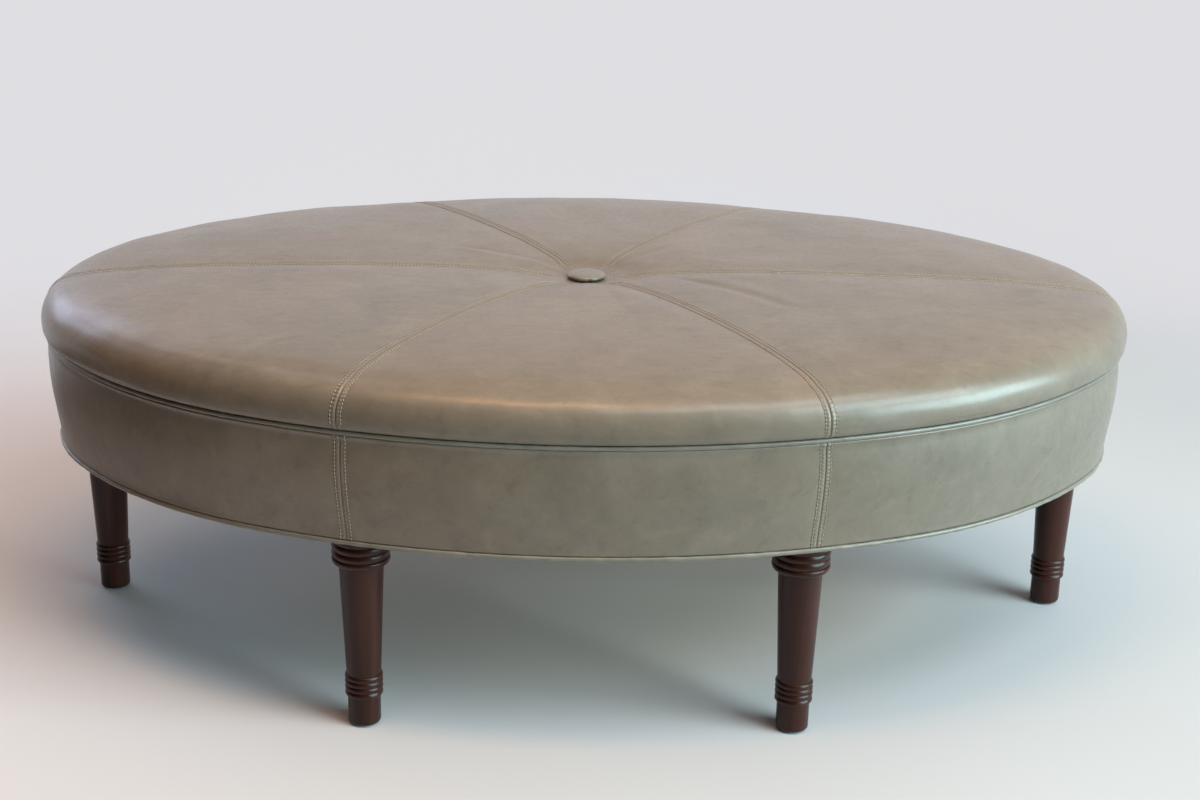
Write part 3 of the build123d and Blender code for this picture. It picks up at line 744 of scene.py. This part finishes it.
def build_dust_cloth():
    """The cloth stretched under the frame, cut out round the legs and sagging a little between them."""
    x, y = oval(1.0, DUST_INSET)
    pick = np.linspace(0, DENSE, 260, endpoint=False).astype(int)
    points = [(float(x[i]), float(y[i])) for i in pick]
    loops = [list(range(len(points)))]
    for lx, ly in LEG_PLACES:
        ring = [(lx + LEG_HOLE * math.cos(a), ly + LEG_HOLE * math.sin(a))
                for a in np.linspace(0, 2 * math.pi, 48, endpoint=False)]
        loops.append(list(range(len(points), len(points) + len(ring))))
        points += ring
    half_x, half_y = HALF_LENGTH - DUST_INSET, HALF_DEPTH - DUST_INSET
    gx, gy = np.meshgrid(np.arange(-672, 680, CLOTH_STEP), np.arange(-448, 452, CLOTH_STEP), indexing="ij")
    spots = np.column_stack([gx.ravel(), gy.ravel()])
    rho = np.hypot(spots[:, 0] / (half_x - CLOTH_EDGE), spots[:, 1] / (half_y - CLOTH_EDGE))
    points += spots[(rho < 1) & (from_legs(spots) > LEG_HOLE + CLOTH_EDGE)].tolist()
    edges = [(loop[i], loop[(i + 1) % len(loop)]) for loop in loops for i in range(len(loop))]
    flat, _, tris, _, _, _ = delaunay_2d_cdt([Vector(p) for p in points], edges, [], 0, 1e-4)
    flat = np.array([tuple(p) for p in flat])
    open_at = from_legs(flat[np.array(tris)].mean(1)) <= LEG_HOLE
    keep = [tuple(t) for t, hole in zip(tris, open_at) if not hole]
    rim = 1 - np.sqrt((flat[:, 0] / half_x) ** 2 + (flat[:, 1] / half_y) ** 2)
    slack = np.clip(rim * 4, 0, 1) * np.clip((from_legs(flat) - LEG_HOLE) / 90, 0, 1)
    sag = CLOTH_SAG * slack + 0.5 * slack * waves(np.column_stack([flat, flat[:, 0] * 0]), 160, 41)
    verts = np.column_stack([flat, DUST_Z - sag])
    # The flat area of the cut: the oval, less the holes for the legs.
    oval_area = abs(x @ np.roll(y, -1) - y @ np.roll(x, -1)) / 2
    area = (oval_area - len(LEG_PLACES) * math.pi * LEG_HOLE ** 2) * MM ** 2
    return make_object("dust_cloth", verts, keep), float(area)


# ---------------------------------------------------------------- materials

class Nodes:
    """Short names for the nodes the materials are made of."""

    def __init__(self, tree):
        self.tree = tree
        self.place = tree.nodes.new("ShaderNodeTexCoord").outputs["Object"]

    def put(self, socket, value):
        """Links an output to a socket, or sets the socket to a constant."""
        if isinstance(value, bpy.types.NodeSocket):
            self.tree.links.new(value, socket)
        else:
            socket.default_value = value

    def node(self, kind, inputs, **settings):
        """Adds a node with its settings and inputs, and gives its outputs."""
        n = self.tree.nodes.new(kind)
        for key, value in settings.items():
            setattr(n, key, value)
        for key, value in inputs.items():
            self.put(n.inputs[key], value)
        return n.outputs

    def mapped(self, scale, turn=(0, 0, 0)):
        return self.node("ShaderNodeMapping", {"Vector": self.place, "Scale": scale, "Rotation": turn})[0]

    def noise(self, scale, detail, rough, where=None, w=None, bend=0.0):
        inputs = {"Vector": where or self.place, "Scale": scale, "Detail": detail, "Roughness": rough,
                  "Distortion": bend}
        if w is not None:
            inputs["W"] = w
        return self.node("ShaderNodeTexNoise", inputs, noise_dimensions="3D" if w is None else "4D")["Fac"]

    def cells(self, scale, feature="F1"):
        inputs = {"Vector": self.place, "Scale": scale}
        return self.node("ShaderNodeTexVoronoi", inputs, feature=feature)["Distance"]

    def layer(self, name):
        return self.node("ShaderNodeAttribute", {}, attribute_name=name)["Fac"]

    def math(self, kind, a, b=0.0):
        return self.node("ShaderNodeMath", {0: a, 1: b}, operation=kind)[0]

    def both(self, a, b):
        return self.math("MULTIPLY", a, b)

    def wave(self, value, pitch):
        return self.math("SINE", self.both(value, 2 * math.pi / pitch))

    def axes(self):
        return self.node("ShaderNodeSeparateXYZ", {0: self.place})

    def span(self, value, low, high, to_low=0.0, to_high=1.0, smooth=True):
        """A value brought from one range to another, and kept within it."""
        inputs = {"Value": value, "From Min": low, "From Max": high, "To Min": to_low, "To Max": to_high}
        return self.node("ShaderNodeMapRange", inputs, clamp=True,
                         interpolation_type="SMOOTHSTEP" if smooth else "LINEAR")[0]

    def mix(self, amount, a, b):
        """One colour or another, by amount."""
        return self.node("ShaderNodeMix", {0: amount, 6: a, 7: b}, data_type="RGBA")[2]

    def blend(self, amount, a, b):
        """One shader or another, by amount."""
        return self.node("ShaderNodeMixShader", {0: amount, 1: a, 2: b})[0]

    def bump(self, height, strength, distance, under=None):
        inputs = {"Strength": strength, "Distance": distance, "Height": height}
        if under:
            inputs["Normal"] = under
        return self.node("ShaderNodeBump", inputs)[0]


def new_material(name):
    """An empty material: itself, its node tree's helper and its shader."""
    mat = bpy.data.materials.new(name)
    mat.use_nodes = True
    tree = mat.node_tree
    tree.nodes.clear()
    output = tree.nodes.new("ShaderNodeOutputMaterial")
    output.name = "Material Output"
    shader = tree.nodes.new("ShaderNodeBsdfPrincipled")
    tree.links.new(shader.outputs[0], output.inputs[0])
    return mat, Nodes(tree), shader


def tint(colour, share):
    """A colour made darker."""
    return tuple(c * share for c in colour[:3]) + (1,)


def finish_shader(n, shader, colour, rough, normal, **constants):
    """Links what varies over the surface, and sets what doesn't on the shader's own sockets."""
    for name, value in (("Base Color", colour), ("Roughness", rough), ("Normal", normal)):
        n.put(shader.inputs[name], value)
    for name, value in constants.items():
        shader.inputs[name.replace("_", " ")].default_value = value


def leather_material(name, deep, main, light, cool, seams=True):
    """Smooth aniline leather: cloudy colour, fine grain and hair cells, faint creases, worn edges."""
    mat, n, shader = new_material(name)
    panel = n.both(n.layer("panel"), 3.7)
    cloud = n.noise(2.6, 4, 0.55, w=panel, bend=0.4)
    patch = n.noise(9.0, 5, 0.6, w=panel, bend=0.8)
    streak = n.noise(1.0, 5, 0.62, where=n.mapped((34, 74, 40), (0, 0, 0.35)), w=panel, bend=0.7)
    speck = n.noise(160, 3, 0.6)
    pores = n.cells(900)
    colour = n.mix(n.span(cloud, 0.36, 0.64), main, cool)
    # Each panel is cut from another part of the hide, so it is a little browner or greener.
    own = n.noise(1.0, 0, 0.5, where=n.mapped((0, 0, 0)), w=n.both(n.layer("panel"), 5.31))
    greener = (main[0] * 0.90, main[1] * 1.02, main[2], 1)
    colour = n.mix(n.span(own, 0.35, 0.65, 0, 0.16), colour, greener)
    for value, low, high, share, other in (
            (patch, 0.45, 0.68, 0.40, light), (patch, 0.46, 0.28, 0.32, deep),
            (streak, 0.50, 0.68, 0.34, light), (streak, 0.47, 0.3, 0.30, deep),
            (speck, 0.56, 0.75, 0.22, deep), (pores, 0.25, 0.05, 0.25, deep)):
        colour = n.mix(n.span(value, low, high, 0, share), colour, other)
    rough = n.span(n.noise(5.0, 3, 0.5, w=panel), 0.3, 0.7, 0.34, 0.42)
    rough = n.math("ADD", rough, n.span(speck, 0.3, 0.7, -0.03, 0.04))
    wrinkle = n.noise(260, 4, 0.65, bend=1.2)
    crease = n.cells(330, "DISTANCE_TO_EDGE")
    normal = n.bump(n.span(crease, 0.0, 0.16), 0.10, 0.0004)
    normal = n.bump(wrinkle, 0.16, 0.0005, normal)
    normal = n.bump(pores, 0.10, 0.0003, normal)
    normal = n.bump(n.noise(22, 3, 0.5, w=panel, bend=0.5), 0.10, 0.004, normal)
    if seams:
        off, along = n.layer("seam_off"), n.layer("seam_along")
        # Along the seams: a painted highlight on each ridge, painted shade in the dip along the row of
        # stitches, painted shade in the groove, and small puckers at the stitches.
        # Lighter on each ridge: a painted highlight.
        ridge = n.both(n.span(off, 0.9, 1.9), n.span(off, 4.2, 2.6))
        colour = n.mix(n.both(ridge, 0.42), colour, light)
        # Darker along the stitch row: painted shade in the dip that the stitches pull down.
        edge = n.both(n.span(off, 5.2, 6.2), n.span(off, 8.2, 6.8))
        colour = n.mix(n.both(edge, 0.22), colour, deep)
        # Darker in the groove: painted shade.
        colour = n.mix(n.span(off, 0.8, 0.1, 0, 0.36), colour, tint(deep, 0.5))
        held = n.both(n.span(off, 1.0, 3.0), n.span(off, 10.5, 5.5))
        normal = n.bump(n.both(n.wave(along, STITCH_PITCH), held), 0.55, 0.00035, normal)
    finish_shader(n, shader, colour, rough, normal,
                  Specular_IOR_Level=0.5, Coat_Weight=0.45, Coat_Roughness=0.24)
    return mat


def wood_material(name, dark, light, axis, rough, pores, coat=0.0, specular=0.5):
    """Straight-grained wood along one axis."""
    mat, n, shader = new_material(name)
    where = n.mapped(axis)
    rings = n.noise(34, 4, 0.55, where=where, bend=1.3)
    fibre = n.noise(420, 3, 0.6, where=where)
    tone = n.noise(5, 3, 0.5, where=where)
    colour = n.mix(n.span(rings, 0.32, 0.68), dark, light)
    colour = n.mix(n.span(tone, 0.35, 0.65, 0, 0.45), colour, dark)
    colour = n.mix(n.span(fibre, 0.55, 0.75, 0, pores), colour, tint(dark, 0.55))
    finish_shader(n, shader, colour, n.span(fibre, 0.3, 0.7, rough - 0.05, rough + 0.08),
                  n.bump(fibre, 0.15, 0.0003, n.bump(rings, 0.08, 0.0006)),
                  Specular_IOR_Level=specular, Coat_Weight=coat, Coat_Roughness=0.12)
    return mat


def metal_material(name, colour, rough):
    """Dull metal with a cloudy surface and fine scratches."""
    mat, n, shader = new_material(name)
    cloud = n.noise(60, 4, 0.6)
    scratch = n.noise(700, 2, 0.5, where=n.mapped((1, 1, 0.2)))
    colour = n.mix(n.span(cloud, 0.35, 0.65, 0, 0.5), colour, tint(colour, 0.7))
    finish_shader(n, shader, colour, n.span(cloud, 0.3, 0.7, rough - 0.06, rough + 0.12),
                  n.bump(scratch, 0.15, 0.0002), Metallic=1.0)
    return mat


def weave_material(name, dark, light, pitch, rough, depth=0.5, hole=None):
    """Plain cloth or twine: crossing threads with some fuzz, and painted shade where the thread goes down
    into a needle hole.
    """
    mat, n, shader = new_material(name)
    a, b, c = (n.wave(axis, pitch) for axis in n.axes())
    woven = n.math("ADD", n.both(a, b), n.both(c, 0.5))
    fuzz = n.noise(900, 3, 0.7)
    tone = n.noise(14, 4, 0.6)
    colour = n.mix(n.span(woven, -1, 1), dark, light)
    colour = n.mix(n.span(tone, 0.35, 0.7, 0, 0.4), colour, dark)
    colour = n.mix(n.span(fuzz, 0.5, 0.8, 0, 0.35), colour, light)
    # The hole colour paints the shade where a thread's ends go down into the leather.
    if hole:
        colour = n.mix(n.span(n.layer("sunk"), 0.3, 0.85), colour, hole)
    finish_shader(n, shader, colour, n.span(fuzz, 0.2, 0.8, rough - 0.1, rough + 0.1),
                  n.bump(fuzz, 0.3, 0.0004, n.bump(woven, depth, 0.0003)))
    return mat


def plain_material(name, dark, light, scale, rough):
    """Card or plastic: two close colours in a fine cloudy pattern."""
    mat, n, shader = new_material(name)
    cloud, fine = n.noise(scale, 5, 0.6), n.noise(scale * 9, 3, 0.6)
    colour = n.mix(n.span(cloud, 0.35, 0.65), dark, light)
    colour = n.mix(n.span(fine, 0.5, 0.8, 0, 0.3), colour, dark)
    finish_shader(n, shader, colour, n.span(fine, 0.3, 0.7, rough - 0.05, rough + 0.08),
                  n.bump(fine, 0.2, 0.0005))
    return mat


def dress(obj, mat):
    """Gives an object one material."""
    obj.data.materials.clear()
    obj.data.materials.append(mat)


LEATHER = leather_material("leather_grey", (0.103, 0.079, 0.059, 1), (0.200, 0.158, 0.121, 1),
                           (0.266, 0.217, 0.171, 1), (0.182, 0.155, 0.124, 1))
# The welts and the button take a lighter, greyer copy of the pad's leather, which paints the light that
# catches these rounded pieces.
WELT_LEATHER = leather_material("leather_welt", (0.110, 0.094, 0.075, 1), (0.215, 0.186, 0.150, 1),
                                (0.292, 0.260, 0.217, 1), (0.200, 0.182, 0.152, 1), seams=False)
THREAD = weave_material("thread_beige", (0.36, 0.30, 0.21, 1), (0.62, 0.55, 0.42, 1), 0.0009, 0.6, 0.6,
                        (0.09, 0.067, 0.050, 1))
LEG_WOOD = wood_material("wood_lacquer", (0.023, 0.0055, 0.0032, 1), (0.063, 0.0153, 0.0086, 1),
                         (1, 1, 0.07), 0.33, 0.3, coat=0.13, specular=0.24)
HARDWOOD = wood_material("wood_frame", (0.42, 0.27, 0.14, 1), (0.62, 0.45, 0.28, 1),
                         (0.8, 0.08, 0.8), 0.6, 0.4)
PLYWOOD = wood_material("wood_ply", (0.50, 0.36, 0.21, 1), (0.68, 0.53, 0.36, 1),
                        (0.04, 0.5, 0.5), 0.62, 0.35)
ZINC = metal_material("metal_zinc", (0.62, 0.64, 0.66, 1), 0.36)
BRASS = metal_material("metal_brass", (0.80, 0.62, 0.28, 1), 0.32)
PLASTIC = plain_material("plastic_glide", (0.015, 0.014, 0.014, 1), (0.035, 0.033, 0.032, 1), 90, 0.42)
CARD = plain_material("card", (0.38, 0.29, 0.19, 1), (0.52, 0.42, 0.30, 1), 60, 0.8)
CORD = weave_material("cord_paper", (0.45, 0.38, 0.28, 1), (0.66, 0.58, 0.45, 1), 0.0016, 0.85)
TWINE = weave_material("twine_waxed", (0.55, 0.50, 0.40, 1), (0.78, 0.73, 0.62, 1), 0.0012, 0.6)
DUST = weave_material("cloth_dust", (0.006, 0.006, 0.007, 1), (0.028, 0.028, 0.030, 1), 0.0014, 0.9)

# The CAD's nodes take the first material whose words are in their name.
FINISHES = (
    (("leg_post", "rail", "rib", "twine_toggle"), HARDWOOD),
    (("leg_",), LEG_WOOD),
    (("apron_skin", "deck_panel", "bottom_board"), PLYWOOD),
    (("threaded_inserts",), BRASS),
    (("screws", "bolts", "button_back"), ZINC),
    (("glides",), PLASTIC),
    (("tack_strip",), CARD),
    (("cord",), CORD),
    (("tufting_twine",), TWINE),
    (("",), LEATHER),
)
for name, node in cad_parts.items():
    dress(node, next(mat for words, mat in FINISHES if any(word in name for word in words)))

# ---------------------------------------------------------------- pieces

def place_piece(obj, mat, slot=None, *starts):
    """Dresses a piece and lets it ride the one body. Starts are of names of CAD nodes it stands for."""
    dress(obj, mat)
    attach(obj, "root")
    if starts:
        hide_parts(*[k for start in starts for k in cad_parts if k.startswith(start)])


def seam_lines(points, off):
    """The lines of stitches on both sides of every seam."""
    return [place_row(points, off, c, d, STITCH_OFF) for c in SEAM_COLUMNS for d in (-1, 1)]


pad, pad_points, pad_off = build_pad()
place_piece(pad, LEATHER, "leather", "top_leather", "wadding_layer", "foam_core")

band, band_points, band_off = build_band()
place_piece(band, LEATHER, "leather", "band_leather", "band_padding")

# Stitches: name, lines, seed, and how far from the ends of their line the first and the last one are.
for stitches in (("pad_stitches", seam_lines(pad_points, pad_off), 3, 22.0, 26.0),
                 ("band_stitches", seam_lines(band_points, band_off), 4, 10.0, 6.0)):
    place_piece(build_stitches(*stitches), THREAD)

# Welts: name, inset, height, radius, the two edges of the flange, and seed.
for welt in (("upper_welt", 1.9, WELT_Z, 2.8, ((-2.6, -11.0), (-1.8, -11.0)), 2),
             ("lower_welt", 10.4, 249.3, 3.0, ((-9.0, 2.2), (-9.0, 2.9)), 6)):
    place_piece(build_welt(*welt), WELT_LEATHER, "welt_leather", welt[0] + "_cover")

place_piece(build_button(), WELT_LEATHER, "leather", "button_cover")

dust, dust_area = build_dust_cloth()
place_piece(dust, DUST, "dust_cloth", "dust_cover")

# ---------------------------------------------------------------- floor, light and camera

# The stage, in metres: half its width, how far its flat part goes in front and behind, the radius of the
# curve up into the backdrop, and the backdrop's top.
STAGE_HALF, STAGE_FRONT, SWEEP_START, SWEEP_R, STAGE_TOP = 9.0, -9.0, 1.3, 0.9, 3.6


def build_stage():
    """A pale floor that curves up into a backdrop; from below and behind it lets the camera through."""
    profile = [(STAGE_FRONT, 0.0), (-4.2, 0.0), (-2.0, 0.0), (0.0, 0.0), (SWEEP_START, 0.0)]
    profile += [(SWEEP_START + SWEEP_R * math.sin(a), SWEEP_R - SWEEP_R * math.cos(a))
                for a in np.linspace(0.12, math.pi / 2, 14)]
    profile += [(SWEEP_START + SWEEP_R, z) for z in (1.6, STAGE_TOP)]
    xs = np.concatenate([[-STAGE_HALF], np.linspace(-4.5, 4.5, 13), [STAGE_HALF]])
    verts = [(x / MM, y / MM, z / MM) for y, z in profile for x in xs]
    floor = make_object("floor_sweep", verts, grid_faces(len(profile), len(xs), closed=False))
    mat, n, shader = new_material("paper_pale")
    cloud, fine = n.noise(0.9, 3, 0.5), n.noise(140, 4, 0.6)
    x, y, _ = n.axes()
    xx, yy = n.both(x, x), n.both(y, y)
    # The paper is a little greyer towards the window, so that its light evens out.
    colour = n.mix(n.span(x, -1.0, 1.3, smooth=False), (0.85, 0.84, 0.89, 1), (0.54, 0.575, 0.62, 1))
    colour = n.mix(n.span(cloud, 0.35, 0.65, 0, 0.05), colour, (0.5, 0.5, 0.5, 1))
    # Under the table, where only the cool window light comes in, the paper is a little warmer.
    under = n.math("SQRT", n.math("ADD", n.both(xx, 0.45), yy))
    colour = n.mix(n.span(under, 0.16, 0.46, 1, 0), colour, (0.90, 0.72, 0.64, 1))
    rays = n.node("ShaderNodeLightPath", {})
    camera_ray, glossy_ray = rays["Is Camera Ray"], rays["Is Glossy Ray"]
    # In reflections the paper ends a little way in front and to the left, where the room is dark.
    paper = n.both(glossy_ray, n.span(y, -1.15, -0.70))
    paper = n.both(paper, n.math("MAXIMUM", n.span(x, -1.5, -0.6, 0.1, 1.0), n.span(y, 0.3, 0.9)))
    seen = n.math("MAXIMUM", camera_ray, n.math("MAXIMUM", paper, rays["Is Transmission Ray"]))
    # The floor is as pale as paper to the eye, and throws a little less light back up at the object.
    near = n.mix(glossy_ray, (0.42, 0.37, 0.34, 1), (0.12, 0.09, 0.07, 1))
    n.put(shader.inputs["Base Color"], n.mix(seen, near, colour))
    n.put(shader.inputs["Normal"], n.bump(fine, 0.05, 0.0006))
    shader.inputs["Roughness"].default_value = 0.8
    # Away from the object the paper shows its own pale colour to the camera and in reflections.
    glow = n.node("ShaderNodeEmission", {"Color": PAPER})[0]
    away = n.span(n.math("SQRT", n.math("ADD", xx, yy)), 1.15, 2.1)
    front = n.blend(n.both(away, seen), shader.outputs[0], glow)
    behind = n.both(n.node("ShaderNodeNewGeometry", {})["Backfacing"], camera_ray)
    clear = n.node("ShaderNodeBsdfTransparent", {})[0]
    n.put(n.tree.nodes["Material Output"].inputs[0], n.blend(behind, front, clear))
    dress(floor, mat)


def build_world():
    """A faint warm fill; the camera sees it as pale as the paper."""
    world = bpy.data.worlds.new("studio")
    SCENE.world = world
    world.use_nodes = True
    tree = world.node_tree
    fill = tree.nodes["Background"]
    fill.inputs[0].default_value, fill.inputs[1].default_value = WORLD_COLOUR, WORLD_STRENGTH
    pale = tree.nodes.new("ShaderNodeBackground")
    pale.inputs[0].default_value, pale.inputs[1].default_value = PAPER, 1.0
    path, mixer = tree.nodes.new("ShaderNodeLightPath"), tree.nodes.new("ShaderNodeMixShader")
    tree.links.new(path.outputs["Is Camera Ray"], mixer.inputs[0])
    tree.links.new(fill.outputs[0], mixer.inputs[1])
    tree.links.new(pale.outputs[0], mixer.inputs[2])
    tree.links.new(mixer.outputs[0], tree.nodes["World Output"].inputs[0])


def area_light(name, place, target, size, power, colour):
    """A rectangular lamp that points at a place. The camera doesn't see it."""
    data = bpy.data.lights.new(name, "AREA")
    data.shape, (data.size, data.size_y) = "RECTANGLE", size
    data.energy, data.color = power, colour
    lamp = bpy.data.objects.new(name, data)
    lamp.location = place
    lamp.rotation_euler = (Vector(target) - Vector(place)).to_track_quat("-Z", "Y").to_euler()
    lamp.visible_camera = False
    SCENE.collection.objects.link(lamp)


PAPER = (0.74, 0.73, 0.76, 1)
WORLD_COLOUR, WORLD_STRENGTH = (1.0, 0.84, 0.74, 1), 0.03
# Lamps: name, place, what it points at, size, power in watts and colour.
LIGHTS = (
    ("window", (4.0, -2.6, 3.5), (0.3, 0, 0.35), (3.1, 1.75), 158, (0.76, 0.96, 1.0)),
    ("low_window", (4.55, -2.05, 1.15), (0.3, 0, 0.3), (3.6, 1.9), 280, (0.66, 0.96, 1.0)),
    ("window_top", (1.1, -1.3, 2.8), (0.3, -0.4, 0.42), (1.9, 0.8), 20, (0.96, 0.98, 0.96)),
    ("ceiling", (0.4, -0.25, 3.2), (0.4, -0.25, 0.0), (4.4, 4.3), 56, (1.0, 0.77, 0.61)),
    ("ceiling_lamp", (-0.25, -0.85, 2.7), (-0.2, -0.42, 0.42), (1.1, 0.5), 17, (1.0, 0.51, 0.20)),
    ("side_wall", (-2.1, 1.85, 1.45), (-0.45, 0, 0.44), (1.7, 1.1), 15, (0.60, 0.72, 1.0)),
)
build_stage()
build_world()
for lamp in LIGHTS:
    area_light(*lamp)

camera_data = bpy.data.cameras.new("camera")
camera_data.sensor_width = 36.0
camera_data.lens = 59.59
camera = bpy.data.objects.new("camera", camera_data)
# As it was fitted to the photograph. The columns are the camera's right, up and back, and its place.
camera.matrix_world = Matrix((
    (0.999828, -0.016838, -0.007774, 0.00075),
    (-0.001679, 0.335270, -0.942121, -2.45837),
    (0.018470, 0.941972, 0.335184, 1.15281),
    (0, 0, 0, 1)))
SCENE.collection.objects.link(camera)
SCENE.camera = camera
SCENE.view_settings.view_transform = "Standard"
